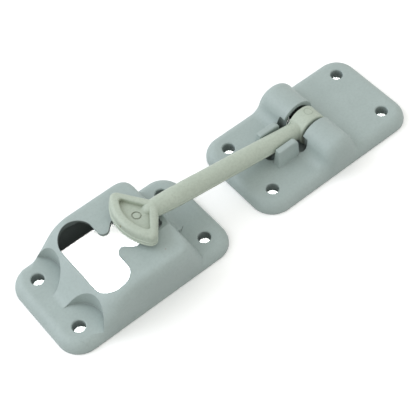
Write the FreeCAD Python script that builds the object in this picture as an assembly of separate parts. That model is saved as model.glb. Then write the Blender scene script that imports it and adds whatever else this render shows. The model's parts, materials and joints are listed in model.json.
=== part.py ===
import FreeCAD, Part
import math
import os

# Baggage door catch: a hinge plate carrying a swinging T-headed arm on a hidden pin, and a
# socket plate whose raised dome takes the head.  Millimetres, +Z away from the wall, X along
# the arm from the hinge plate (origin) to the socket plate at -X.
# Origin: middle of the hinge plate's screw pattern, on its flat back face.

V = FreeCAD.Vector

# Both plates share one outline and one screw pattern
PLATE_LENGTH = 87.6
PLATE_WIDTH = 50.8
PLATE_CORNER_R = 10.5
FLANGE_T = 5.4
FLANGE_EDGE_R = 5.0
SCREW_PITCH_X = 66.5
SCREW_PITCH_Y = 30.2
SCREW_BORE_D = 5.8
SCREW_RIM_R = 0.4
PLATE_SPACING = 105.4

# Socket dome, side view heights and slopes
DOME_TOP = 20.6
DOME_FOOT_LEFT = -31.8
DOME_FOOT_RIGHT = 27.4
DOME_BEND_LEFT = -17.4
DOME_CREST_RIGHT = 20.9
DOME_FOOT_R_LEFT = 6.0
DOME_FOOT_R_RIGHT = 3.0
DOME_BEND_R = 15.0
DOME_CREST_R = 2.2
DOME_CREST_R_END = 7.0
DOME_CREST_SOFT_REACH = 8.5
DOME_SHOULDER_REACH = 4.6
DOME_SHOULDER_POWER = 2.5
DOME_SIDE_TOP = 12.4
DOME_PLAN_R_LEFT = 8.5
DOME_PLAN_R_RIGHT = 6.5
DOME_WALL = 2.7
DOME_SIDE_WALL = 2.0
CAVITY_SIDE_TOP = 10.6
CAVITY_LEFT = -27.3
CAVITY_BEND_R = 5.0
CAVITY_CORNER_R = 1.0

# Head opening in the dome: wide slot, throat between two thinned lips, pocket for the neck
ENTRY_LEFT = -20.7
ENTRY_RIGHT = -4.4
ENTRY_HALF_SPAN = 20.15
THROAT_PLAY = 0.85
LIP_T = 1.4
LIP_R = 2.6
LIP_END = -0.8
LIP_END_R = 2.0
POCKET_LEFT = 3.2
POCKET_HALF = 8.8
POCKET_R = 3.5
POCKET_RIGHT = 19.6
POCKET_END_HALF = 6.5
POCKET_END_R = 2.6
SADDLE_R = 18.0
SADDLE_DEPTH = 2.2

# Round scoops that let a screwdriver reach the socket plate's screws
SCOOP_R = 11.0
SCOOP_WALL = 1.8

# Hinge
HINGE_X = 0.5
EYE_LIFT = 0.4
HUMP_R = 8.7
HUMP_WALL = 2.2
HUMP_SHOULDER_REACH = 5.9
HUMP_SIDE_TOP = 8.5
HUMP_END_R = 6.0
HUMP_FRONT_FOOT_R = 6.0
HUMP_REAR_FOOT_R = 2.0
HUMP_END_WALL = 6.2
EYE_SIDE_PLAY = 1.8
RIB_INNER = 12.0
RIB_T = 2.5
PIN_D = 4.0
PIN_END_PLAY = 0.3
PIN_CHAMFER = 0.4
PIN_FIT = 0.05
SNAP_GAP = 3.4

# Trough under the arm with a floor, its cross pocket, and the two upright fingers beside it
TROUGH_FLOOR = 1.2
TROUGH_FRONT = -24.6
TROUGH_HALF = 4.4
CROSS_FRONT = -11.2
CROSS_REAR = -6.4
CROSS_HALF = 9.8
CROSS_R = 2.4
EYE_ROOM = 0.8
FINGER_FRONT = -22.6
FINGER_REAR = -11.4
FINGER_TOP = 14.2
FINGER_PLAY = 0.6
FINGER_OUTER = 7.8
FINGER_LEAN = 8.4
FINGER_REAR_R = 2.2
FINGER_EDGE_R = 0.7

# Arm, measured along itself from the hinge axis, and the head back from its tip; at rest the
# arm's middle line lies REST_HEIGHT over the saddle's edge
ARM_LENGTH = 105.5
REST_HEIGHT = 4.87
EYE_R = 7.8
EYE_HALF = 4.5
EYE_EDGE_R = 0.8
EYE_RUN = 0.08
ROOT_BLEND_R = 4.0
ROOT_BITE = 0.6
ROD_ROOT_D = 8.4
ROD_NEAR = [(16.0, 8.4), (32.0, 8.8)]
ROD_FAR = [(45.5, 9.1), (27.5, 9.1)]
NECK_BACK = 17.5
NECK_D = 8.1
NOSE_LENGTH = 5.8
HEAD_LENGTH = 18.2
HEAD_ARC_R = 21.5
HEAD_NECK_Y = 2.6
HEAD_FLANK_ANGLE = 52.0
HEAD_CORNER_R = 2.8
HEAD_T = 7.4
HEAD_EDGE_R = 1.9
RECESS_LENGTH = 14.7
RECESS_Y = 0.9
RECESS_FLANK_ANGLE = 54.5
RECESS_ARC_RIM = 3.9
RECESS_CORNER_R = 1.2
RECESS_DEPTH = 2.4
RECESS_RIM_R = 0.9
DIMPLE_BACK = 8.8
DIMPLE_D = 4.4
DIMPLE_WIDTH = 0.6
DIMPLE_DEPTH = 0.4

CUT_ROOM = 1.0
UNDER_SKIN = 0.06
END_FLAT = 0.1

# Places that follow from the sizes above
PLATE_HALF = PLATE_WIDTH / 2
HINGE_Z = EYE_R + EYE_LIFT
SLOT_HALF = EYE_HALF + EYE_SIDE_PLAY
HUMP_HOLLOW_HALF = PLATE_HALF - HUMP_END_WALL
PIN_HALF = HUMP_HOLLOW_HALF - PIN_END_PLAY
FINGER_INNER = ROD_ROOT_D / 2 + FINGER_PLAY
THROAT_HALF = NECK_D / 2 + THROAT_PLAY


def outline(corners, place):
    """Closed wire through (a, b, radius) corners, each rounded by its own radius."""
    count = len(corners)
    trims = []
    for i, (a, b, radius) in enumerate(corners):
        here = V(a, b, 0)
        back = V(*corners[i - 1][:2], 0) - here
        ahead = V(*corners[(i + 1) % count][:2], 0) - here
        back.normalize()
        ahead.normalize()
        half = back.getAngle(ahead) / 2
        reach = radius / math.tan(half)
        bisector = (back + ahead).normalize()
        middle = here + bisector * (radius / math.sin(half) - radius)
        trims.append((here + back * reach, middle, here + ahead * reach, radius))
    edges = []
    for i, (start, middle, end, radius) in enumerate(trims):
        if radius > 0:
            arc = Part.Arc(place(start.x, start.y), place(middle.x, middle.y), place(end.x, end.y))
            edges.append(arc.toShape())
        following = trims[(i + 1) % count][0]
        if (following - end).Length > 1e-6:
            edges.append(Part.makeLine(place(end.x, end.y), place(following.x, following.y)))
    return Part.Wire(edges)


def in_plan(a, b):
    return V(a, b, 0)


def in_side(y):
    return lambda a, b: V(a, y, b)


def prism(wire, bottom, height):
    """Upright prism of a plan outline."""
    return Part.Face(wire).extrude(V(0, 0, height)).translated(V(0, 0, bottom))


def side_prism(wire, half_width):
    """Prism of a side-view outline that lies at y = -half_width, up to y = +half_width."""
    return Part.Face(wire).extrude(V(0, 2 * half_width, 0))


def both_sides(shape):
    """The shape and its mirror image across the middle plane."""
    return shape.fuse(shape.mirror(V(0, 0, 0), V(0, 1, 0)))


def screw_centres():
    """The four screw places of a plate."""
    return [V(sx * SCREW_PITCH_X / 2, sy * SCREW_PITCH_Y / 2, 0) for sx in (-1, 1) for sy in (-1, 1)]


def flange():
    """Rounded plate with a softly rounded top edge."""
    half_l = PLATE_LENGTH / 2
    turns = ((-1, -1), (1, -1), (1, 1), (-1, 1))
    corners = [(sx * half_l, sy * PLATE_HALF, PLATE_CORNER_R) for sx, sy in turns]
    plate = prism(outline(corners, in_plan), 0, FLANGE_T)
    rim = [e for e in plate.Edges if e.BoundBox.ZMin > FLANGE_T - CUT_ROOM / 2]
    return plate.makeFillet(FLANGE_EDGE_R, rim)


def edge_height(y):
    """Height of the plate's rounded top edge at a distance y from the middle."""
    into = max(0.0, y - (PLATE_HALF - FLANGE_EDGE_R))
    return FLANGE_T - FLANGE_EDGE_R + math.sqrt(max(0.0, FLANGE_EDGE_R ** 2 - into ** 2))


def drawn_in(y, half, radius):
    """How far a plan corner of this radius has drawn in at a distance y from the middle."""
    into = max(0.0, y - (half - radius))
    return radius - math.sqrt(max(0.0, radius ** 2 - into ** 2))


def shoulder(y, start, half, power=2):
    """Share of the full height left at y: 1 up to start, 0 at half; power 2 is an ellipse."""
    into = max(0.0, y - start) / (half - start)
    return (1 - into ** power) ** (1 / power)


def ridge(section, start, end, count):
    """Solid across the plate: section(y) is constant up to start, then changes up to end."""
    middle = side_prism(section(-start), start)
    turns = [math.pi / 2 * i / count for i in range(count + 1)]
    wires = [section(start + (end - start) * math.sin(turn)) for turn in turns]
    return middle.fuse(both_sides(Part.makeLoft(wires, True, False)))


def screw_holes():
    """Cutter for the four screw holes, flared a little on top."""
    holes = []
    for centre in screw_centres():
        bore = Part.makeCylinder(SCREW_BORE_D / 2, FLANGE_T + 2 * CUT_ROOM, centre - V(0, 0, CUT_ROOM))
        flare = Part.makeCone(
            SCREW_BORE_D / 2, SCREW_BORE_D / 2 + 2 * SCREW_RIM_R, 2 * SCREW_RIM_R,
            centre + V(0, 0, FLANGE_T - SCREW_RIM_R),
        )
        holes.append(bore.fuse(flare))
    return Part.makeCompound(holes)


def shifted(p, q, distance):
    """Line p-q moved sideways to its right by a distance."""
    along = (q - p).normalize()
    side = V(along.y, -along.x, 0) * distance
    return p + side, q + side


def at_x(p, q, x):
    """Second coordinate of line p-q where the first is x."""
    return p.y + (q.y - p.y) * (x - p.x) / (q.x - p.x)


def at_y(p, q, y):
    """First coordinate of line p-q where the second is y."""
    return p.x + (q.x - p.x) * (y - p.y) / (q.y - p.y)


def dome_slopes(inset):
    """Left and right slope lines of the dome in side view, moved inwards by inset."""
    left = shifted(V(DOME_FOOT_LEFT, FLANGE_T), V(DOME_BEND_LEFT, DOME_TOP), inset)
    right = shifted(V(DOME_CREST_RIGHT, DOME_TOP), V(DOME_FOOT_RIGHT, FLANGE_T), inset)
    return left, right


def dome_section(y):
    """Side view of the dome's outside at y; the ends draw in and the top falls to the flanks."""
    far = abs(y)
    half = PLATE_HALF
    top = DOME_SIDE_TOP + (DOME_TOP - DOME_SIDE_TOP) * shoulder(
        far, half - DOME_SHOULDER_REACH, half, DOME_SHOULDER_POWER)
    foot = edge_height(far) - UNDER_SKIN
    left, right = dome_slopes(0)
    in_left = drawn_in(far, half, DOME_PLAN_R_LEFT)
    in_right = drawn_in(far, half, DOME_PLAN_R_RIGHT)
    soft = max(0.0, far - half + DOME_CREST_SOFT_REACH) / DOME_CREST_SOFT_REACH
    crest_r = DOME_CREST_R + (DOME_CREST_R_END - DOME_CREST_R) * soft
    foot_left = at_y(*left, foot) + in_left
    foot_right = at_y(*right, foot) - in_right
    return outline([
        (foot_left - DOME_FOOT_R_LEFT, UNDER_SKIN, 0),
        (foot_left - DOME_FOOT_R_LEFT, foot, 0),
        (foot_left, foot, DOME_FOOT_R_LEFT),
        (at_y(*left, top) + in_left, top, DOME_BEND_R),
        (at_y(*right, top) - in_right, top, crest_r),
        (foot_right, foot, DOME_FOOT_R_RIGHT),
        (foot_right + DOME_FOOT_R_RIGHT, foot, 0),
        (foot_right + DOME_FOOT_R_RIGHT, UNDER_SKIN, 0),
    ], in_side(y))


def cavity_section(y):
    """Side view of the hollow under the dome at y, one wall thickness inside the dome."""
    far = abs(y)
    half = PLATE_HALF - DOME_SIDE_WALL
    ceiling = CAVITY_SIDE_TOP + (DOME_TOP - DOME_WALL - CAVITY_SIDE_TOP) * shoulder(
        far, half - DOME_SHOULDER_REACH, half)
    left, right = dome_slopes(DOME_WALL)
    in_left = drawn_in(far, half, DOME_PLAN_R_LEFT - DOME_SIDE_WALL)
    in_right = drawn_in(far, half, DOME_PLAN_R_RIGHT - DOME_SIDE_WALL)
    return outline([
        (CAVITY_LEFT + in_left, -CUT_ROOM, 0),
        (CAVITY_LEFT + in_left, at_x(*left, CAVITY_LEFT), CAVITY_CORNER_R),
        (at_y(*left, ceiling) + in_left, ceiling, CAVITY_BEND_R),
        (at_y(*right, ceiling) - in_right, ceiling, CAVITY_CORNER_R),
        (at_y(*right, -CUT_ROOM) - in_right, -CUT_ROOM, 0),
    ], in_side(y))


def dome_cavity():
    """Hollow under the dome, open to the back, leaving solid posts round the screw scoops."""
    start = PLATE_HALF - DOME_PLAN_R_LEFT - CUT_ROOM
    hollow = ridge(cavity_section, start, PLATE_HALF - DOME_SIDE_WALL, count=7)
    for centre in screw_centres():
        post = Part.makeCylinder(SCOOP_R + SCOOP_WALL, 2 * DOME_TOP, centre - V(0, 0, 2 * CUT_ROOM))
        hollow = hollow.cut(post)
    return hollow


def head_opening():
    """Cutter for the entry slot, the throat between the lips and the neck pocket."""
    end_r = (ENTRY_RIGHT - ENTRY_LEFT - END_FLAT) / 2
    upper = [
        (ENTRY_LEFT, ENTRY_HALF_SPAN, end_r),
        (ENTRY_RIGHT, ENTRY_HALF_SPAN, end_r),
        (ENTRY_RIGHT, THROAT_HALF, LIP_R),
        (LIP_END, THROAT_HALF, LIP_END_R),
        (POCKET_LEFT, POCKET_HALF, POCKET_R),
        (POCKET_RIGHT, POCKET_END_HALF, POCKET_END_R),
    ]
    lower = [(x, -y, r) for x, y, r in reversed(upper)]
    return prism(outline(upper + lower, in_plan), FLANGE_T + CUT_ROOM, DOME_TOP)


def lip_relief():
    """Cutter that thins the two lips from below."""
    left = (ENTRY_LEFT + ENTRY_RIGHT) / 2
    span = ENTRY_HALF_SPAN - CUT_ROOM
    corners = [
        (left, -span, 0), (POCKET_LEFT, -span, POCKET_R), (POCKET_LEFT, span, POCKET_R), (left, span, 0),
    ]
    return prism(outline(corners, in_plan), FLANGE_T + CUT_ROOM, DOME_TOP - LIP_T - FLANGE_T - CUT_ROOM)


def neck_saddle():
    """Shallow round trough over the pocket end where the arm's neck lies."""
    length = DOME_CREST_RIGHT - POCKET_LEFT
    centre = V(POCKET_LEFT + length / 2, 0, DOME_TOP - SADDLE_DEPTH + SADDLE_R)
    return Part.makeCylinder(SADDLE_R, length, centre, V(1, 0, 0))


def socket_plate():
    """Socket plate: plate, hollow dome, opening, scoops and screw holes."""
    body = flange().fuse(ridge(dome_section, PLATE_HALF - DOME_CREST_SOFT_REACH, PLATE_HALF, count=12))
    for centre in screw_centres():
        body = body.cut(Part.makeCylinder(SCOOP_R, DOME_TOP, centre + V(0, 0, FLANGE_T)))
    for cutter in (dome_cavity(), lip_relief(), head_opening(), neck_saddle(), screw_holes()):
        body = body.cut(cutter)
    return body.removeSplitter().translated(V(-PLATE_SPACING, 0, 0))


def hump_section(y):
    """Side view of the hinge hump at y: a round back with a long front and a short rear foot."""
    far = abs(y)
    share = shoulder(far, PLATE_HALF - HUMP_SHOULDER_REACH, PLATE_HALF)
    top = HUMP_SIDE_TOP + (HINGE_Z + HUMP_R - HUMP_SIDE_TOP) * share
    back_r = HUMP_END_R + (HUMP_R - HUMP_END_R) * share
    foot_z = edge_height(far) - UNDER_SKIN
    axis = V(HINGE_X, y, top - back_r)
    ends = []
    for side, radius in ((-1, HUMP_FRONT_FOOT_R), (1, HUMP_REAR_FOOT_R)):
        rise = foot_z + radius - axis.z
        reach = math.sqrt((back_r + radius) ** 2 - rise ** 2)
        centre = axis + V(side * reach, 0, rise)
        touch = axis + (centre - axis).normalize() * back_r
        foot = V(centre.x, y, foot_z)
        middle = centre + ((touch - centre) + (foot - centre)).normalize() * radius
        ends.append((foot, middle, touch))
    front, rear = ends
    run = V(HUMP_R, 0, 0)
    drop = V(0, 0, UNDER_SKIN - foot_z)
    return Part.Wire([
        Part.makeLine(front[0] - run, front[0]),
        Part.Arc(*front).toShape(),
        Part.Arc(front[2], axis + V(0, 0, back_r), rear[2]).toShape(),
        Part.Arc(rear[2], rear[1], rear[0]).toShape(),
        Part.makeLine(rear[0], rear[0] + run),
        Part.makeLine(rear[0] + run, rear[0] + run + drop),
        Part.makeLine(rear[0] + run + drop, front[0] - run + drop),
        Part.makeLine(front[0] - run + drop, front[0] - run),
    ])


def channel(half_width, half_length):
    """Slot below the hinge axis, open to the back, running along the axis."""
    corner = V(HINGE_X - half_width, -half_length, -CUT_ROOM)
    return Part.makeBox(2 * half_width, 2 * half_length, HINGE_Z + CUT_ROOM, corner)


def hump_hollow():
    """Hollow of the hump, open to the back beside the slot, with ribs that hold the pin."""
    radius = HUMP_R - HUMP_WALL
    start = V(HINGE_X, -HUMP_HOLLOW_HALF, HINGE_Z)
    room = Part.makeCylinder(radius, 2 * HUMP_HOLLOW_HALF, start, V(0, 1, 0))
    hollow = room.fuse(channel(radius, HUMP_HOLLOW_HALF))
    rib_corner = V(HINGE_X - 2 * radius, RIB_INNER, -2 * HINGE_Z)
    hollow = hollow.cut(both_sides(Part.makeBox(4 * radius, RIB_T, 4 * HINGE_Z, rib_corner)))
    floor_half = SLOT_HALF - END_FLAT
    floor_corner = V(HINGE_X - 2 * radius, -floor_half, -CUT_ROOM)
    hollow = hollow.cut(Part.makeBox(4 * radius, 2 * floor_half, TROUGH_FLOOR + 2 * CUT_ROOM, floor_corner))
    seat = Part.makeCylinder(PIN_D / 2 + PIN_FIT, 2 * HUMP_HOLLOW_HALF, start, V(0, 1, 0))
    return hollow.fuse(seat).fuse(channel(SNAP_GAP / 2, HUMP_HOLLOW_HALF))


def arm_room():
    """Cutter for the slot between the bosses, the eye's well, the trough and its cross pocket."""
    slot = Part.makeBox(
        4 * HUMP_R, 2 * SLOT_HALF, 2 * HUMP_R, V(HINGE_X - 2 * HUMP_R, -SLOT_HALF, FLANGE_T)
    )
    tall = 2 * FLANGE_T
    reach = EYE_R + EYE_ROOM
    well = Part.makeBox(2 * reach, 2 * SLOT_HALF, tall, V(HINGE_X - reach, -SLOT_HALF, TROUGH_FLOOR))
    gap = math.sqrt((EYE_R + EYE_ROOM / 2) ** 2 - (HINGE_Z - TROUGH_FLOOR) ** 2)
    trough = outline([
        (TROUGH_FRONT, -TROUGH_HALF, TROUGH_HALF - END_FLAT),
        (CROSS_REAR, -TROUGH_HALF, 0),
        (CROSS_REAR, TROUGH_HALF, 0),
        (TROUGH_FRONT, TROUGH_HALF, TROUGH_HALF - END_FLAT),
    ], in_plan)
    pocket = outline([
        (x, y, CROSS_R)
        for x, y in (
            (CROSS_FRONT, -CROSS_HALF), (CROSS_REAR, -CROSS_HALF),
            (CROSS_REAR, CROSS_HALF), (CROSS_FRONT, CROSS_HALF),
        )
    ], in_plan)
    rooms = [well, channel(gap, SLOT_HALF + EYE_ROOM)]
    rooms += [prism(plan, TROUGH_FLOOR, tall) for plan in (trough, pocket)]
    return slot.fuse(rooms)


def finger():
    """One upright finger beside the trough, its front and outer faces leaning in."""
    wires = []
    for z in (FLANGE_T / 2, FINGER_TOP):
        lean = (FINGER_TOP - z) * math.tan(math.radians(FINGER_LEAN))
        front = FINGER_FRONT - lean
        outer = FINGER_OUTER + lean
        corners = [V(front, FINGER_INNER, z), V(FINGER_REAR, FINGER_INNER, z)]
        corners += [V(FINGER_REAR, outer, z), V(front, outer, z)]
        wires.append(Part.makePolygon(corners + corners[:1]))
    block = Part.makeLoft(wires, True, True)
    top = [e for e in block.Edges if e.BoundBox.ZMin > FINGER_TOP - CUT_ROOM / 2]
    rear = [e for e in top if e.BoundBox.XMin > FINGER_REAR - CUT_ROOM / 2]
    block = block.makeFillet(FINGER_REAR_R, rear)
    soft = [
        e for e in block.Edges
        if e.BoundBox.XMax < FINGER_REAR - FINGER_REAR_R / 2
        and (e.BoundBox.ZMin > FINGER_TOP - CUT_ROOM / 2 or e.BoundBox.ZLength > FLANGE_T)
    ]
    return block.makeFillet(FINGER_EDGE_R, soft)


def hook_plate():
    """Hinge plate: plate, hollow hump, slot and trough for the arm, two fingers."""
    body = flange().fuse(ridge(hump_section, PLATE_HALF - HUMP_SHOULDER_REACH, PLATE_HALF, count=7))
    body = body.cut(hump_hollow()).cut(arm_room()).cut(screw_holes())
    return body.fuse(both_sides(finger())).removeSplitter()


def hinge_pin():
    """Plain steel pin with chamfered ends."""
    pin = Part.makeCylinder(PIN_D / 2, 2 * PIN_HALF, V(HINGE_X, -PIN_HALF, HINGE_Z), V(0, 1, 0))
    ends = [e for e in pin.Edges if e.BoundBox.YLength < PIN_CHAMFER]
    return pin.makeChamfer(PIN_CHAMFER, ends)


def rod():
    """Round rod: flares out of the eye, is thickest before the neck, ends in a nose in the head."""
    rise = ROD_ROOT_D / 2 + ROOT_BLEND_R
    run = math.sqrt((EYE_R + ROOT_BLEND_R - ROOT_BITE) ** 2 - rise ** 2)
    centre = V(run, 0, rise)
    start = centre * (1 - ROOT_BLEND_R / centre.Length)
    root = V(run, 0, ROD_ROOT_D / 2)
    middle = centre + ((start - centre) + (root - centre)).normalize() * ROOT_BLEND_R
    stations = ROD_NEAR + [(ARM_LENGTH - back, d) for back, d in ROD_FAR + [(NECK_BACK, NECK_D)]]
    flanks = [root] + [V(s, 0, d / 2) for s, d in stations]
    flank = Part.BSplineCurve()
    flank.interpolate(flanks)
    end = flanks[-1]
    tip = V(end.x + NOSE_LENGTH, 0, 0)
    ellipse = Part.Ellipse(tip, end, V(end.x, 0, 0))
    edges = [
        Part.makeLine(V(start.x, 0, 0), start),
        Part.Arc(start, middle, root).toShape(),
        flank.toShape(),
        Part.Edge(ellipse, 0, math.pi / 2),
        Part.makeLine(tip, V(start.x, 0, 0)),
    ]
    turned = Part.Face(Part.Wire(edges)).revolve(V(0, 0, 0), V(1, 0, 0), 360)
    beside_eye = Part.makeBox(run, EYE_R, 2 * EYE_R, V(0, EYE_HALF, -EYE_R))
    return turned.cut(both_sides(beside_eye))


def head_form(length, start_y, angle, arc_r, corner_r, thickness):
    """Upright form with two straight flanks and a convex tip, its two corners rounded."""
    start = ARM_LENGTH - length
    spread = start_y + length * math.tan(math.radians(angle))
    wedge = Part.makePolygon([
        V(start, -start_y, 0), V(ARM_LENGTH, -spread, 0), V(ARM_LENGTH, spread, 0), V(start, start_y, 0),
        V(start, -start_y, 0),
    ])
    disc = Part.Wire(Part.makeCircle(arc_r, V(ARM_LENGTH - HEAD_ARC_R, 0, 0)))
    form = prism(wedge, 0, thickness).common(prism(disc, 0, thickness))
    upright = [e for e in form.Edges if e.BoundBox.ZLength > thickness / 2]
    return form.makeFillet(corner_r, [e for e in upright if abs(e.BoundBox.Center.y) > EYE_HALF])


def t_head():
    """Head with softly rounded edges and a shallow recess on both faces."""
    head = head_form(HEAD_LENGTH, HEAD_NECK_Y, HEAD_FLANK_ANGLE, HEAD_ARC_R, HEAD_CORNER_R, HEAD_T)
    head.translate(V(0, 0, -HEAD_T / 2))
    rims = [e for e in head.Edges if e.BoundBox.ZLength < CUT_ROOM / 10]
    head = head.makeFillet(HEAD_EDGE_R, rims)
    recess = head_form(
        RECESS_LENGTH, RECESS_Y, RECESS_FLANK_ANGLE, HEAD_ARC_R - RECESS_ARC_RIM, RECESS_CORNER_R, HEAD_T)
    recess.translate(V(0, 0, HEAD_T / 2 - RECESS_DEPTH))
    head = head.cut(recess).cut(recess.mirror(V(0, 0, 0), V(0, 0, 1)))
    inner = recess.BoundBox
    inner.enlarge(CUT_ROOM / 10)
    mouths = []
    for edge in head.Edges:
        box = edge.BoundBox
        on_face = box.ZLength < CUT_ROOM / 10 and abs(abs(box.ZMax) - HEAD_T / 2) < CUT_ROOM / 10
        if on_face and box.XMin > inner.XMin and box.XMax < inner.XMax and box.YMax < inner.YMax:
            mouths.append(edge)
    return head.makeFillet(RECESS_RIM_R, mouths)


def dimple():
    """Small ring pressed into the recess floor."""
    floor = HEAD_T / 2 - RECESS_DEPTH
    centre = V(ARM_LENGTH - DIMPLE_BACK, 0, floor - DIMPLE_DEPTH)
    outer = Part.makeCylinder(DIMPLE_D / 2, RECESS_DEPTH, centre)
    return outer.cut(Part.makeCylinder(DIMPLE_D / 2 - DIMPLE_WIDTH, RECESS_DEPTH, centre))


def arm_tilt():
    """Angle in degrees at which the rod lies just over the saddle's edge."""
    run = HINGE_X + PLATE_SPACING - DOME_CREST_RIGHT
    rise = DOME_TOP - SADDLE_DEPTH - HINGE_Z
    return math.degrees(math.atan2(rise, run) + math.asin(REST_HEIGHT / math.hypot(run, rise)))


def arm():
    """One-piece arm: eye, rod and T-head, tilted so that the head lies on the dome."""
    eye = Part.makeCylinder(EYE_R, 2 * EYE_HALF, V(0, -EYE_HALF, 0), V(0, 1, 0))
    eye = eye.makeFillet(EYE_EDGE_R, [e for e in eye.Edges if e.BoundBox.YLength < EYE_EDGE_R])
    body = eye.fuse(rod()).fuse(t_head()).cut(dimple())
    bore = Part.makeCylinder(PIN_D / 2 + EYE_RUN, 4 * EYE_HALF, V(0, -2 * EYE_HALF, 0), V(0, 1, 0))
    body = body.cut(bore).removeSplitter()
    body.rotate(V(0, 0, 0), V(0, 0, 1), 180)
    body.rotate(V(0, 0, 0), V(0, 1, 0), arm_tilt())
    return body.translated(V(HINGE_X, 0, HINGE_Z))


os.makedirs("parts", exist_ok=True)
nodes = {
    "hook_plate": hook_plate(),
    "hinge_pin": hinge_pin(),
    "arm": arm(),
    "socket_plate": socket_plate(),
}
for name, shape in nodes.items():
    shape.exportStep("parts/" + name + ".step")
    box = shape.optimalBoundingBox()
    limits = (box.XMin, box.XMax, box.YMin, box.YMax, box.ZMin, box.ZMax)
    print(name, shape.isValid(), len(shape.Solids), round(shape.Volume), [round(v, 2) for v in limits])
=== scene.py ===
import json
import math
import bmesh
import bpy
from mathutils import Matrix, Vector


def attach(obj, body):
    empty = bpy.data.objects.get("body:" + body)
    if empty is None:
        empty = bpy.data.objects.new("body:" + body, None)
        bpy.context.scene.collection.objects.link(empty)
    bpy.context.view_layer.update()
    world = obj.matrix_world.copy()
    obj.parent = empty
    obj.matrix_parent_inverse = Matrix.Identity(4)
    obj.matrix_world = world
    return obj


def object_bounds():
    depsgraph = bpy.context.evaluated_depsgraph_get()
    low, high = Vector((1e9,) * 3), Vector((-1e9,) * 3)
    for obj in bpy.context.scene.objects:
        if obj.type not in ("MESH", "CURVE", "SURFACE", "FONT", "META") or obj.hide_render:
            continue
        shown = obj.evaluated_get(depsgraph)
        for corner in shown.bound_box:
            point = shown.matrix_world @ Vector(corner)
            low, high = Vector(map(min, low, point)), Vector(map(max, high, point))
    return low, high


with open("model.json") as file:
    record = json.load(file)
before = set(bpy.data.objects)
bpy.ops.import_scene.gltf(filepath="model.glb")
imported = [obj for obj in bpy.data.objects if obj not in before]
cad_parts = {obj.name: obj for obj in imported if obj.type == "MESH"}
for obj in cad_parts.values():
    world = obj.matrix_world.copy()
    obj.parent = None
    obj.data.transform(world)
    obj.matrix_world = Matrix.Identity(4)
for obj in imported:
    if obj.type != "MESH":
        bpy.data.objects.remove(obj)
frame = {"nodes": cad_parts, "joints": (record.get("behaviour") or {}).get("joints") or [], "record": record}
cad_low, cad_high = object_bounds()

# Places that the CAD gives: the hinge axis and the middle of each plate, all in metres
swing = next(joint for joint in frame["joints"] if joint["name"] == "arm_swing")
mounts = {mount["name"]: mount for mount in frame["record"]["mounts"]}
HINGE = Vector(swing["pos_m"])
HINGE_PLATE_X = mounts["hinge_plate_screws"]["pos_m"][0]
SOCKET_PLATE_X = mounts["socket_plate_screws"]["pos_m"][0]

# Camera, as angles round a point on the catch
CAMERA_TARGET = Vector((-0.06317, -0.00715, 0.010))
CAMERA_AZIMUTH = math.radians(-34.61)
CAMERA_ELEVATION = math.radians(54.49)
CAMERA_ROLL = math.radians(-5.72)
CAMERA_DISTANCE = 0.4992
CAMERA_LENS = 99.93
SENSOR = 36.0

# Light, as shares of the level at which a colour renders as it is written
WORLD_LEVEL = 0.86
WORLD_COLOUR = (1.0, 1.0, 0.975)
WHITE = (1.0, 1.0, 1.0)
LAMP_LEVEL = 0.37
LAMP_COLOUR = (0.94, 1.0, 1.12)
LAMP_AZIMUTH = math.radians(135.0)
LAMP_ELEVATION = math.radians(35.0)
LAMP_DISTANCE = 0.90
LAMP_SIZE = 0.70

# Floor, with one tint for the light that it throws back and one for the camera. It throws less
# back under the plates' hollows, and where the camera sees it through the plates' holes or the
# socket's opening it is painted light, far brighter than the light reaching it there
FLOOR_SPAN = 3.0
FLOOR_DROP = 0.0002
FLOOR_TINT = 0.45
FLOOR_SEEN_TINT = 1.22
FLOOR_UNDER_TINT = 0.05
FLOOR_PAINTED_LIGHT_TINT = 9.0
FLOOR_SPECK_SIZE = 0.004
FLOOR_SPECK_TINT = 0.985
FLOOR_ROUGHNESS = 0.9

# Parts of the floor that a plate covers: the plate's reach along and across from its middle, its
# hollow's reach along, how far off the middle plane the holes start, and the socket's opening
PLATE_REACH = (0.0380, 0.0242)
CAVITY_REACH = 0.0240
HOLE_ROWS_FROM = 0.0105
OPENING_X = SOCKET_PLATE_X - 0.0042
OPENING_REACH = 0.0170

# Moulded skin: grain and ripple in its relief, flow and stains in its colour. A span is the
# stretch of a noise over which its effect comes in
GRAIN_SIZE = 0.00035
GRAIN_DEPTH = 0.000012
GRAIN_STRENGTH = 0.6
RIPPLE_SIZE = 0.0045
RIPPLE_SHARE = 2.0
FLOW_SIZE = 0.014
STAIN_SIZE = 0.0011
STAIN_SPAN = (0.42, 0.66)
STAIN_TINT = 0.87
NOISE_SPAN = (0.3, 0.7)
SKIN_ROUGHNESS = (0.40, 0.54)
SKIN_IOR = 1.47
EDGE_RADIUS = 0.00045
EDGE_SPAN = (0.01, 0.20)
# Edges are paled partly by wear and partly as painted highlight: how much, and the pale tint
EDGE_WEAR_AND_HIGHLIGHT = 0.35
EDGE_TINT = 1.12

# The socket dome's inner faces, darkened as painted shade: how far they reach along, across and
# up from its middle, how far off the middle plane its inner sides start, and which way they look
DOME_INSIDE = (0.0224, 0.0243, 0.0203)
DOME_INSIDE_FADE = 0.93
DOME_INSIDE_SIDE_FROM = 0.0110
DOME_INSIDE_SHADE_TINT = 0.42
LOOKS_INWARD = -0.1
LOOKS_DOWN = -0.3
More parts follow.
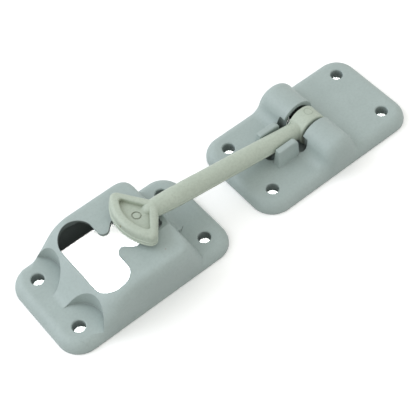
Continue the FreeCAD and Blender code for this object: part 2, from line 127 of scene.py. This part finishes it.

# Finish of each moulding: its two colours, the strength of its stains, how far its hollows
# reach, how open the skin is where they end, the tint of the painted shade in them and its soft
# edges' radius. A hollow's painted shade is darkest where the skin is only as open as HOLLOW_FULL
HOLLOW_FULL = 0.12
PLATE_SKIN = {
    "colour": (0.365, 0.436, 0.420), "pale": (0.405, 0.480, 0.463), "stains": 0.35,
    "hollow_reach": 0.022, "hollow_end": 0.54, "hollow_shade_tint": (0.25, 0.25, 0.25),
    "edge_radius": EDGE_RADIUS,
}
ARM_SKIN = {
    "colour": (0.444, 0.507, 0.424), "pale": (0.500, 0.566, 0.478), "stains": 0.55,
    "hollow_reach": 0.004, "hollow_end": 0.80, "hollow_shade_tint": (0.60, 0.58, 0.50),
    "edge_radius": EDGE_RADIUS,
}
LINE_SKIN = {**ARM_SKIN, "colour": ARM_SKIN["pale"], "stains": 0.30, "edge_radius": 0.00008}
MARK_SKIN = {**LINE_SKIN, "colour": (0.300, 0.350, 0.280), "pale": ARM_SKIN["colour"]}

# Wear: middle and reach of each worn spot, its turn about up in degrees and its colour. Noise
# makes its rim ragged
RAG_SIZE = 0.0009
RAG_SHARE = 1.6
RIM_SPAN = (1.30, 1.75)
PLATE_WEAR = (
    ("dark_scratch", (-0.0767, -0.0055, 0.0056), (0.0024, 0.00022, 0.004), 34.0,
     (0.13, 0.16, 0.15)),
    ("rust_speck", (-0.09368, -0.01774, 0.0206), (0.00035, 0.00028, 0.003), 0.0,
     (0.30, 0.17, 0.15)),
)
ARM_WEAR = (
    ("tip_nick", (-0.1031, -0.0006, 0.0276), (0.0006, 0.0006, 0.0009), 0.0,
     (0.24, 0.23, 0.14)),
    ("side_nick", (-0.1018, -0.0088, 0.0262), (0.0009, 0.0004, 0.0004), 60.0,
     (0.30, 0.31, 0.22)),
    ("rod_smear", (-0.0560, -0.0040, 0.0170), (0.0120, 0.0010, 0.0009), 0.0,
     (0.30, 0.31, 0.21)),
)

# The pin's drawn steel
STEEL_COLOUR = (0.56, 0.56, 0.57)
STEEL_DARK_TINT = 0.8
STEEL_LINE_SIZE = 0.00018
STEEL_LINE_STRETCH = 0.04
STEEL_LINE_DEPTH = 0.00001
STEEL_LINE_STRENGTH = 0.4
STEEL_ROUGHNESS = (0.22, 0.42)

# The arm lies tipped up on the dome. Each parting line has a height above the arm's middle and
# a distance from the hinge at which it starts
ARM_TILT = math.radians(10.104)
PARTING_LINES = ((-0.0004, 0.0140), (-0.0018, 0.0905))
WELD = 1e-6
BEAD_R = 0.00030
BEAD_RISE = 0.00022
BEAD_STEP = 0.0006
BEAD_SIDES = 8

# Round mark that a mould pin leaves on the eye
EYE_R = 0.0078
MARK_R = 0.0020
MARK_ANGLE = math.radians(78.0)
MARK_SIDE = 0.0008
MARK_BEAD_R = 0.00022
MARK_RISE = 0.00012
MARK_STEPS = 48

# The Mix node's colour sockets share their names with its number sockets, so a place finds them
MIX_FIRST, MIX_SECOND, MIX_RESULT = 6, 7, 2


def add_node(tree, kind, **settings):
    """New shader node with its settings made in one call."""
    node = tree.nodes.new(kind)
    for key, value in settings.items():
        setattr(node, key, value)
    return node


def feed(tree, socket, value):
    """Gives an input the output of another node, a colour, or a plain value."""
    if isinstance(value, bpy.types.NodeSocket):
        tree.links.new(value, socket)
    elif socket.type == "RGBA":
        socket.default_value = (*value, 1.0)
    else:
        socket.default_value = value


def math_node(tree, operation, *values):
    """Result of a Math node on one or two sockets or numbers."""
    node = add_node(tree, "ShaderNodeMath", operation=operation)
    for place, value in enumerate(values):
        feed(tree, node.inputs[place], value)
    return node.outputs[0]


def vector_node(tree, operation, *values):
    """Vector Math node on one or two sockets."""
    node = add_node(tree, "ShaderNodeVectorMath", operation=operation)
    for place, value in enumerate(values):
        feed(tree, node.inputs[place], value)
    return node


def separate(tree, vector):
    """The three parts of a vector."""
    node = add_node(tree, "ShaderNodeSeparateXYZ")
    feed(tree, node.inputs[0], vector)
    return [node.outputs[axis] for axis in "XYZ"]


def noise(tree, vector, size, detail, roughness=0.5):
    """Noise whose features are about one size across."""
    node = add_node(tree, "ShaderNodeTexNoise", noise_dimensions="3D")
    feed(tree, node.inputs["Vector"], vector)
    feed(tree, node.inputs["Scale"], math_node(tree, "DIVIDE", 1.0, size))
    feed(tree, node.inputs["Detail"], detail)
    feed(tree, node.inputs["Roughness"], roughness)
    return node.outputs["Fac"]


def mix_colour(tree, factor, first, second):
    """Colour between two colours by a mask."""
    node = add_node(tree, "ShaderNodeMix", data_type="RGBA")
    feed(tree, node.inputs["Factor"], factor)
    feed(tree, node.inputs[MIX_FIRST], first)
    feed(tree, node.inputs[MIX_SECOND], second)
    return node.outputs[MIX_RESULT]


def map_range(tree, value, low, high, from_low=0.0, from_high=1.0):
    """Value carried from one span over to another, and held inside it."""
    node = add_node(tree, "ShaderNodeMapRange", clamp=True)
    feed(tree, node.inputs["Value"], value)
    feed(tree, node.inputs["From Min"], from_low)
    feed(tree, node.inputs["From Max"], from_high)
    feed(tree, node.inputs["To Min"], low)
    feed(tree, node.inputs["To Max"], high)
    return node.outputs["Result"]


def within(tree, value, middle, reach):
    """Mask of where a value is nearer to a middle than a reach."""
    away = math_node(tree, "ABSOLUTE", math_node(tree, "SUBTRACT", value, middle))
    return math_node(tree, "LESS_THAN", away, reach)


def shader_group(name, inputs, outputs):
    """Empty shader node group with named sockets, as its tree and its two end nodes."""
    tree = bpy.data.node_groups.new(name, "ShaderNodeTree")
    for label, kind, value in inputs:
        made = tree.interface.new_socket(name=label, in_out="INPUT", socket_type=kind)
        if value is not None:
            made.default_value = value
    for label, kind in outputs:
        tree.interface.new_socket(name=label, in_out="OUTPUT", socket_type=kind)
    start = tree.nodes.new("NodeGroupInput")
    end = tree.nodes.new("NodeGroupOutput")
    return tree, start.outputs, end.inputs


def place_group(tree, group, **values):
    """Outputs of a group placed in a material with its own values."""
    node = add_node(tree, "ShaderNodeGroup", node_tree=group)
    for label, value in values.items():
        feed(tree, node.inputs[label.replace("_", " ")], value)
    return node.outputs


def soft_edge_group():
    """Rounds the look of sharp edges a little and masks where they are."""
    tree, given, made = shader_group(
        "soft_edge",
        [("Radius", "NodeSocketFloat", EDGE_RADIUS)],
        [("Normal", "NodeSocketVector"), ("Edge", "NodeSocketFloat")],
    )
    bevel = add_node(tree, "ShaderNodeBevel", samples=6)
    feed(tree, bevel.inputs["Radius"], given["Radius"])
    facing = add_node(tree, "ShaderNodeNewGeometry")
    dot = vector_node(tree, "DOT_PRODUCT", bevel.outputs["Normal"], facing.outputs["Normal"])
    turned = math_node(tree, "SUBTRACT", 1.0, dot.outputs["Value"])
    feed(tree, made["Normal"], bevel.outputs["Normal"])
    feed(tree, made["Edge"], map_range(tree, turned, 0.0, 1.0, *EDGE_SPAN))
    return tree


def mould_skin_group():
    """Skin of a moulded plastic: fine grain, slow ripple and faint flow in the colour."""
    tree, given, made = shader_group(
        "mould_skin",
        [
            ("Vector", "NodeSocketVector", None),
            ("Grain Size", "NodeSocketFloat", GRAIN_SIZE),
            ("Ripple Size", "NodeSocketFloat", RIPPLE_SIZE),
            ("Flow Size", "NodeSocketFloat", FLOW_SIZE),
        ],
        [("Height", "NodeSocketFloat"), ("Flow", "NodeSocketFloat"), ("Sheen", "NodeSocketFloat")],
    )
    grain = noise(tree, given["Vector"], given["Grain Size"], detail=2.0)
    ripple = noise(tree, given["Vector"], given["Ripple Size"], detail=1.0)
    flow = noise(tree, given["Vector"], given["Flow Size"], detail=3.0, roughness=0.6)
    height = math_node(tree, "ADD", grain, math_node(tree, "MULTIPLY", ripple, RIPPLE_SHARE))
    sheen = math_node(tree, "ADD", math_node(tree, "MULTIPLY", ripple, 0.5),
                      math_node(tree, "MULTIPLY", flow, 0.5))
    feed(tree, made["Height"], height)
    feed(tree, made["Flow"], flow)
    feed(tree, made["Sheen"], sheen)
    return tree


def stain_group():
    """Mask of small uneven stains in the skin."""
    tree, given, made = shader_group(
        "stain",
        [("Vector", "NodeSocketVector", None), ("Size", "NodeSocketFloat", STAIN_SIZE)],
        [("Mask", "NodeSocketFloat")],
    )
    cloud = noise(tree, given["Vector"], given["Size"], detail=4.0, roughness=0.65)
    feed(tree, made["Mask"], map_range(tree, cloud, 0.0, 1.0, *STAIN_SPAN))
    return tree


def hollow_shade_group():
    """Mask of a piece's own deep hollows, where painted shade darkens the colour."""
    tree, given, made = shader_group(
        "hollow",
        [("Reach", "NodeSocketFloat", PLATE_SKIN["hollow_reach"]),
         ("End", "NodeSocketFloat", PLATE_SKIN["hollow_end"])],
        [("Mask", "NodeSocketFloat")],
    )
    shut_in = add_node(tree, "ShaderNodeAmbientOcclusion", samples=8, only_local=True)
    feed(tree, shut_in.inputs["Distance"], given["Reach"])
    mask = map_range(tree, shut_in.outputs["AO"], 1.0, 0.0, HOLLOW_FULL, given["End"])
    feed(tree, made["Mask"], mask)
    return tree


def wear_mark_group():
    """Mask of one worn spot, long or round, with a ragged rim."""
    tree, given, made = shader_group(
        "wear_mark",
        [
            ("Vector", "NodeSocketVector", None),
            ("Middle", "NodeSocketVector", None),
            ("Turn", "NodeSocketVector", None),
            ("Reach", "NodeSocketVector", None),
            ("Rag Size", "NodeSocketFloat", RAG_SIZE),
        ],
        [("Mask", "NodeSocketFloat")],
    )
    offset = vector_node(tree, "SUBTRACT", given["Vector"], given["Middle"])
    turn = add_node(tree, "ShaderNodeVectorRotate", rotation_type="EULER_XYZ", invert=True)
    feed(tree, turn.inputs["Vector"], offset.outputs["Vector"])
    feed(tree, turn.inputs["Rotation"], given["Turn"])
    share = vector_node(tree, "DIVIDE", turn.outputs["Vector"], given["Reach"])
    span = vector_node(tree, "LENGTH", share.outputs["Vector"])
    rag = noise(tree, given["Vector"], given["Rag Size"], detail=3.0, roughness=0.7)
    rim = math_node(tree, "ADD", span.outputs["Value"],
                    math_node(tree, "MULTIPLY", rag, RAG_SHARE))
    feed(tree, made["Mask"], map_range(tree, rim, 1.0, 0.0, *RIM_SPAN))
    return tree


def dome_inside_shade(tree, place):
    """Mask of the socket dome's inner faces that look at its middle or down, which get painted shade."""
    x, y, z = separate(tree, place.outputs["Object"])
    _, facing_y, facing_z = separate(tree, place.outputs["Normal"])
    reach_x, reach_y, reach_z = DOME_INSIDE
    away = math_node(tree, "ABSOLUTE", math_node(tree, "SUBTRACT", x, SOCKET_PLATE_X))
    along = map_range(tree, away, 1.0, 0.0, DOME_INSIDE_FADE * reach_x, reach_x)
    across = within(tree, y, 0.0, reach_y)
    low = within(tree, z, 0.0, reach_z)
    outward = math_node(tree, "MULTIPLY", facing_y, math_node(tree, "SIGN", y))
    off_middle = math_node(tree, "GREATER_THAN", math_node(tree, "ABSOLUTE", y),
                           DOME_INSIDE_SIDE_FROM)
    inward = math_node(tree, "MULTIPLY", off_middle,
                       math_node(tree, "LESS_THAN", outward, LOOKS_INWARD))
    down = math_node(tree, "LESS_THAN", facing_z, LOOKS_DOWN)
    box = math_node(tree, "MULTIPLY", along, math_node(tree, "MULTIPLY", across, low))
    return math_node(tree, "MULTIPLY", box, math_node(tree, "MAXIMUM", inward, down))


def tinted(colour, tint):
    """Colour times a tint, which is one number or one for each channel."""
    shares = tint if isinstance(tint, tuple) else (tint, tint, tint)
    return tuple(share * channel for share, channel in zip(shares, colour))


def new_material(name):
    """New material, with its tree and its shader."""
    material = bpy.data.materials.new(name)
    material.use_nodes = True
    tree = material.node_tree
    return material, tree, tree.nodes["Principled BSDF"]


def add_relief(tree, shader, height, strength, depth, normal=None):
    """Bump of a given height on the shader, over a normal where one is given."""
    bump = add_node(tree, "ShaderNodeBump")
    feed(tree, bump.inputs["Strength"], strength)
    feed(tree, bump.inputs["Distance"], depth)
    feed(tree, bump.inputs["Height"], height)
    if normal is not None:
        feed(tree, bump.inputs["Normal"], normal)
    feed(tree, shader.inputs["Normal"], bump.outputs["Normal"])


def moulded_plastic(name, skin, groups, marks=(), shade_dome_inside=False):
    """Satin moulded plastic, with its stains, painted shade in its hollows and, where asked, inside the
    dome, worn spots, and edges paled partly by wear and partly as painted highlight.
    """
    material, tree, shader = new_material(name)
    place = add_node(tree, "ShaderNodeTexCoord")
    here = place.outputs["Object"]
    colour, pale = skin["colour"], skin["pale"]
    surface = place_group(tree, groups["skin"], Vector=here)
    rounded = place_group(tree, groups["edge"], Radius=skin["edge_radius"])
    stains = place_group(tree, groups["stain"], Vector=here)
    hollows = place_group(tree, groups["hollow"], Reach=skin["hollow_reach"],
                          End=skin["hollow_end"])
    body = mix_colour(tree, map_range(tree, surface["Flow"], 0.0, 1.0, *NOISE_SPAN), colour, pale)
    stained = map_range(tree, stains["Mask"], 0.0, skin["stains"])
    body = mix_colour(tree, stained, body, tinted(colour, STAIN_TINT))
    # Painted shade: the colour is darkened in the piece's own hollows
    body = mix_colour(tree, hollows["Mask"], body, tinted(colour, skin["hollow_shade_tint"]))
    # Painted shade on the socket dome's inner faces
    if shade_dome_inside:
        inner = tinted(colour, DOME_INSIDE_SHADE_TINT)
        body = mix_colour(tree, dome_inside_shade(tree, place), body, inner)
    for label, middle, reach, turn, tint in marks:
        spot = place_group(tree, groups["wear"], Vector=here, Middle=middle, Reach=reach,
                           Turn=(0.0, 0.0, math.radians(turn)))
        spot["Mask"].node.label = label
        body = mix_colour(tree, spot["Mask"], body, tint)
    # Edges paled partly by wear and partly as painted highlight
    worn = map_range(tree, rounded["Edge"], 0.0, EDGE_WEAR_AND_HIGHLIGHT)
    feed(tree, shader.inputs["Base Color"], mix_colour(tree, worn, body, tinted(pale, EDGE_TINT)))
    feed(tree, shader.inputs["Roughness"],
         map_range(tree, surface["Sheen"], *SKIN_ROUGHNESS, *NOISE_SPAN))
    feed(tree, shader.inputs["IOR"], SKIN_IOR)
    add_relief(tree, shader, surface["Height"], GRAIN_STRENGTH, GRAIN_DEPTH, rounded["Normal"])
    return material


def drawn_steel():
    """Bright drawn wire: fine lines along its length."""
    material, tree, shader = new_material("drawn_steel")
    place = add_node(tree, "ShaderNodeTexCoord")
    stretch = add_node(tree, "ShaderNodeMapping")
    feed(tree, stretch.inputs["Scale"], (1.0, STEEL_LINE_STRETCH, 1.0))
    feed(tree, stretch.inputs["Vector"], place.outputs["Object"])
    lines = noise(tree, stretch.outputs["Vector"], STEEL_LINE_SIZE, detail=3.0)
    dark = tinted(STEEL_COLOUR, STEEL_DARK_TINT)
    feed(tree, shader.inputs["Base Color"], mix_colour(tree, lines, dark, STEEL_COLOUR))
    feed(tree, shader.inputs["Roughness"], map_range(tree, lines, *STEEL_ROUGHNESS))
    feed(tree, shader.inputs["Metallic"], 1.0)
    add_relief(tree, shader, lines, STEEL_LINE_STRENGTH, STEEL_LINE_DEPTH)
    return material


def camera_and_mirrored(tree):
    """Masks of rays that come from the camera, and of rays by way of gloss or glass."""
    path = add_node(tree, "ShaderNodeLightPath")
    mirrored = math_node(tree, "MAXIMUM", path.outputs["Is Glossy Ray"],
                         path.outputs["Is Transmission Ray"])
    return path.outputs["Is Camera Ray"], mirrored


def under_plates(tree, place):
    """Masks of the floor under the plates, under their hollows, and under holes and opening."""
    x, y, _ = separate(tree, place)
    middles = (HINGE_PLATE_X, SOCKET_PLATE_X)
    plates = [within(tree, x, middle, PLATE_REACH[0]) for middle in middles]
    hollows = [within(tree, x, middle, CAVITY_REACH) for middle in middles]
    under = math_node(tree, "MULTIPLY", math_node(tree, "MAXIMUM", *plates),
                      within(tree, y, 0.0, PLATE_REACH[1]))
    hollow = math_node(tree, "MULTIPLY", under, math_node(tree, "MAXIMUM", *hollows))
    rows = math_node(tree, "SUBTRACT", 1.0, within(tree, y, 0.0, HOLE_ROWS_FROM))
    opening = within(tree, x, OPENING_X, OPENING_REACH)
    open_above = math_node(tree, "MULTIPLY", under, math_node(tree, "MAXIMUM", rows, opening))
    return under, hollow, open_above


def floor_material():
    """Pale floor that the camera sees as white, with only its deeper shadows left, and painted light where
    it is seen through the plates' holes and opening.
    """
    material, tree, shader = new_material("pale_floor")
    place = add_node(tree, "ShaderNodeTexCoord").outputs["Object"]
    speck = noise(tree, place, FLOOR_SPECK_SIZE, detail=2.0)
    under, hollow, open_above = under_plates(tree, place)
    thrown = map_range(tree, hollow, FLOOR_TINT, FLOOR_UNDER_TINT)
    # Painted light on the floor seen through the plates' holes and the socket's opening
    seen = map_range(tree, open_above, FLOOR_SEEN_TINT, FLOOR_PAINTED_LIGHT_TINT)
    from_camera, mirrored = camera_and_mirrored(tree)
    beside = math_node(tree, "SUBTRACT", 1.0, under)
    direct = math_node(tree, "MAXIMUM", from_camera,
                       math_node(tree, "MULTIPLY", mirrored, beside))
    step = math_node(tree, "MULTIPLY", direct, math_node(tree, "SUBTRACT", seen, thrown))
    level = math_node(tree, "ADD", thrown, step)
    specked = map_range(tree, speck, FLOOR_SPECK_TINT, 1.0)
    feed(tree, shader.inputs["Base Color"], math_node(tree, "MULTIPLY", level, specked))
    feed(tree, shader.inputs["Roughness"], FLOOR_ROUGHNESS)
    feed(tree, shader.inputs["Specular IOR Level"], 0.0)
    return material


def make_floor():
    """Wide floor just under the catch."""
    half = FLOOR_SPAN / 2
    level = cad_low.z - FLOOR_DROP
    corners = [
        (-half, -half, level), (half, -half, level), (half, half, level), (-half, half, level),
    ]
    mesh = bpy.data.meshes.new("floor")
    mesh.from_pydata(corners, [], [(0, 1, 2, 3)])
    floor = bpy.data.objects.new("floor", mesh)
    floor.data.materials.append(floor_material())
    bpy.context.scene.collection.objects.link(floor)


def make_world():
    """Even light from all round, which the camera and mirrored rays see as white."""
    world = bpy.data.worlds.new("studio")
    world.use_nodes = True
    tree = world.node_tree
    background = tree.nodes["Background"]
    seen = math_node(tree, "MAXIMUM", *camera_and_mirrored(tree))
    feed(tree, background.inputs["Color"], mix_colour(tree, seen, WORLD_COLOUR, WHITE))
    feed(tree, background.inputs["Strength"], map_range(tree, seen, WORLD_LEVEL, 1.0))
    bpy.context.scene.world = world


def make_lamp():
    """Square soft lamp from the left and behind. Its level is what a face turned to it gets."""
    light = bpy.data.lights.new("left_back", "AREA")
    light.shape = "SQUARE"
    light.size = LAMP_SIZE
    light.color = LAMP_COLOUR
    light.energy = LAMP_LEVEL * math.pi ** 2 * LAMP_DISTANCE ** 2
    lamp = bpy.data.objects.new("left_back", light)
    turn = Matrix.Rotation(LAMP_AZIMUTH, 3, "Z") @ Matrix.Rotation(-LAMP_ELEVATION, 3, "Y")
    back = turn @ Vector((1.0, 0.0, 0.0))
    lamp.location = CAMERA_TARGET + back * LAMP_DISTANCE
    lamp.rotation_euler = back.to_track_quat("Z", "Y").to_euler()
    bpy.context.scene.collection.objects.link(lamp)


def make_camera():
    """Camera at the photograph's angle."""
    flat = math.cos(CAMERA_ELEVATION)
    back = Vector((
        math.sin(CAMERA_AZIMUTH) * flat, -math.cos(CAMERA_AZIMUTH) * flat,
        math.sin(CAMERA_ELEVATION),
    ))
    level = Vector((math.cos(CAMERA_AZIMUTH), math.sin(CAMERA_AZIMUTH), 0.0))
    right = Matrix.Rotation(CAMERA_ROLL, 3, back) @ level
    turn = Matrix((right, back.cross(right), back)).transposed()
    data = bpy.data.cameras.new("camera")
    data.lens = CAMERA_LENS
    data.sensor_width = SENSOR
    camera = bpy.data.objects.new("camera", data)
    place = Matrix.Translation(CAMERA_TARGET + back * CAMERA_DISTANCE)
    camera.matrix_world = place @ turn.to_4x4()
    bpy.context.scene.collection.objects.link(camera)
    bpy.context.scene.camera = camera


def dress_nodes(groups):
    """Gives every CAD piece its finish."""
    plate = moulded_plastic("plate_plastic_finish", PLATE_SKIN, groups, PLATE_WEAR, shade_dome_inside=True)
    arm = moulded_plastic("arm_plastic_finish", ARM_SKIN, groups, ARM_WEAR)
    finishes = {
        "hook_plate": plate, "socket_plate": plate, "arm": arm, "hinge_pin": drawn_steel(),
    }
    for name, material in finishes.items():
        for slot in frame["nodes"][name].material_slots:
            slot.material = material


def on_arm(along, side, up):
    """Point along the arm, to its side and above its middle, where the arm lies at rest."""
    return HINGE + Vector((
        -along * math.cos(ARM_TILT) + up * math.sin(ARM_TILT), -side,
        along * math.sin(ARM_TILT) + up * math.cos(ARM_TILT),
    ))


def parting_paths(height, start):
    """Paths round the arm's skin at a height over its middle, past a distance from the hinge."""
    work = bmesh.new()
    work.from_mesh(frame["nodes"]["arm"].data)
    bmesh.ops.remove_doubles(work, verts=work.verts, dist=WELD)
    up = on_arm(0.0, 0.0, 1.0) - HINGE
    along = on_arm(1.0, 0.0, 0.0) - HINGE
    whole = work.verts[:] + work.edges[:] + work.faces[:]
    cut = bmesh.ops.bisect_plane(
        work, geom=whole, plane_co=on_arm(0.0, 0.0, height), plane_no=up)["geom_cut"]
    edges = [
        edge for edge in cut if isinstance(edge, bmesh.types.BMEdge)
        and min((corner.co - HINGE).dot(along) for corner in edge.verts) > start
    ]
    paths = []
    while edges:
        path = follow(edges)
        paths.append(sink([corner.co.copy() for corner in path], up, along))
    work.free()
    return paths


def follow(edges):
    """Takes the last edge and all that join on to it at either end, as a row of corners."""
    path = list(edges.pop().verts)
    for _ in range(2):
        path.reverse()
        ahead = True
        while ahead:
            ahead = next((edge for edge in path[-1].link_edges if edge in edges), None)
            if ahead:
                edges.remove(ahead)
                path.append(ahead.other_vert(path[-1]))
    return path


def sink(path, up, along):
    """Path moved into the skin, so that a bead on it stands out by its rise."""
    last = len(path) - 1
    ahead = [path[min(i + 1, last)] - path[max(i - 1, 0)] for i in range(last + 1)]
    outward = [step.cross(up).normalized() for step in ahead]
    tip = max(range(last + 1), key=lambda i: path[i].dot(along))
    sign = 1.0 if outward[tip].dot(along) > 0 else -1.0
    depth = BEAD_R - BEAD_RISE
    return [point - sign * depth * normal for point, normal in zip(path, outward)]


def mark_path():
    """Ring that a mould pin leaves on the eye, bent to the eye's curve."""
    reach = EYE_R + MARK_RISE - MARK_BEAD_R
    path = []
    for step in range(MARK_STEPS + 1):
        turn = 2.0 * math.pi * step / MARK_STEPS
        angle = MARK_ANGLE + MARK_R * math.cos(turn) / EYE_R
        side = MARK_SIDE + MARK_R * math.sin(turn)
        path.append(HINGE + Vector((reach * math.cos(angle), side, reach * math.sin(angle))))
    return path


def bead_tree():
    """Geometry Nodes: a round bead of a given radius along a path."""
    tree = bpy.data.node_groups.new("bead", "GeometryNodeTree")
    for label, side, kind in (
        ("Path", "INPUT", "NodeSocketGeometry"),
        ("Radius", "INPUT", "NodeSocketFloat"),
        ("Step", "INPUT", "NodeSocketFloat"),
        ("Finish", "INPUT", "NodeSocketMaterial"),
        ("Bead", "OUTPUT", "NodeSocketGeometry"),
    ):
        tree.interface.new_socket(name=label, in_out=side, socket_type=kind)
    start = tree.nodes.new("NodeGroupInput")
    end = tree.nodes.new("NodeGroupOutput")
    curve = tree.nodes.new("GeometryNodeMeshToCurve")
    spread = tree.nodes.new("GeometryNodeResampleCurve")
    spread.mode = "LENGTH"
    section = tree.nodes.new("GeometryNodeCurvePrimitiveCircle")
    section.inputs["Resolution"].default_value = BEAD_SIDES
    bead = tree.nodes.new("GeometryNodeCurveToMesh")
    bead.inputs["Fill Caps"].default_value = True
    real = tree.nodes.new("GeometryNodeRealizeInstances")
    dress = tree.nodes.new("GeometryNodeSetMaterial")
    for source, target in (
        (start.outputs["Path"], curve.inputs["Mesh"]),
        (curve.outputs["Curve"], spread.inputs["Curve"]),
        (start.outputs["Step"], spread.inputs["Length"]),
        (start.outputs["Radius"], section.inputs["Radius"]),
        (spread.outputs["Curve"], bead.inputs["Curve"]),
        (section.outputs["Curve"], bead.inputs["Profile Curve"]),
        (bead.outputs["Mesh"], real.inputs["Geometry"]),
        (real.outputs["Geometry"], dress.inputs["Geometry"]),
        (start.outputs["Finish"], dress.inputs["Material"]),
        (dress.outputs["Geometry"], end.inputs["Bead"]),
    ):
        tree.links.new(source, target)
    return tree


def make_bead(name, tree, paths, radius, material):
    """Bead along each path, as a plain mesh that moves with the arm."""
    points = [point for path in paths for point in path]
    edges = []
    first = 0
    for path in paths:
        edges += [(first + i, first + i + 1) for i in range(len(path) - 1)]
        first += len(path)
    line = bpy.data.meshes.new(name)
    line.from_pydata(points, edges, [])
    piece = bpy.data.objects.new(name, line)
    bpy.context.scene.collection.objects.link(piece)
    modifier = piece.modifiers.new("bead", "NODES")
    modifier.node_group = tree
    values = {"Radius": radius, "Step": BEAD_STEP, "Finish": material}
    for socket in tree.interface.items_tree:
        if socket.name in values:
            modifier[socket.identifier] = values[socket.name]
    ready = piece.evaluated_get(bpy.context.evaluated_depsgraph_get())
    mesh = bpy.data.meshes.new_from_object(ready)
    piece.modifiers.remove(modifier)
    piece.data = mesh
    for face in mesh.polygons:
        face.use_smooth = True
    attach(piece, "arm")


def make_mould_lines(groups):
    """Parting line round the head and rod, its twin on the head, and the pin mark on the eye."""
    tree = bead_tree()
    paths = [path for height, start in PARTING_LINES for path in parting_paths(height, start)]
    line = moulded_plastic("mould_line_finish", LINE_SKIN, groups)
    mark = moulded_plastic("pin_mark_finish", MARK_SKIN, groups)
    make_bead("parting_line", tree, paths, BEAD_R, line)
    make_bead("pin_mark", tree, [mark_path()], MARK_BEAD_R, mark)


skin_groups = {
    "skin": mould_skin_group(), "edge": soft_edge_group(), "stain": stain_group(),
    "hollow": hollow_shade_group(), "wear": wear_mark_group(),
}
dress_nodes(skin_groups)
make_mould_lines(skin_groups)
make_floor()
make_world()
make_lamp()
make_camera()
bpy.context.scene.view_settings.view_transform = "Standard"
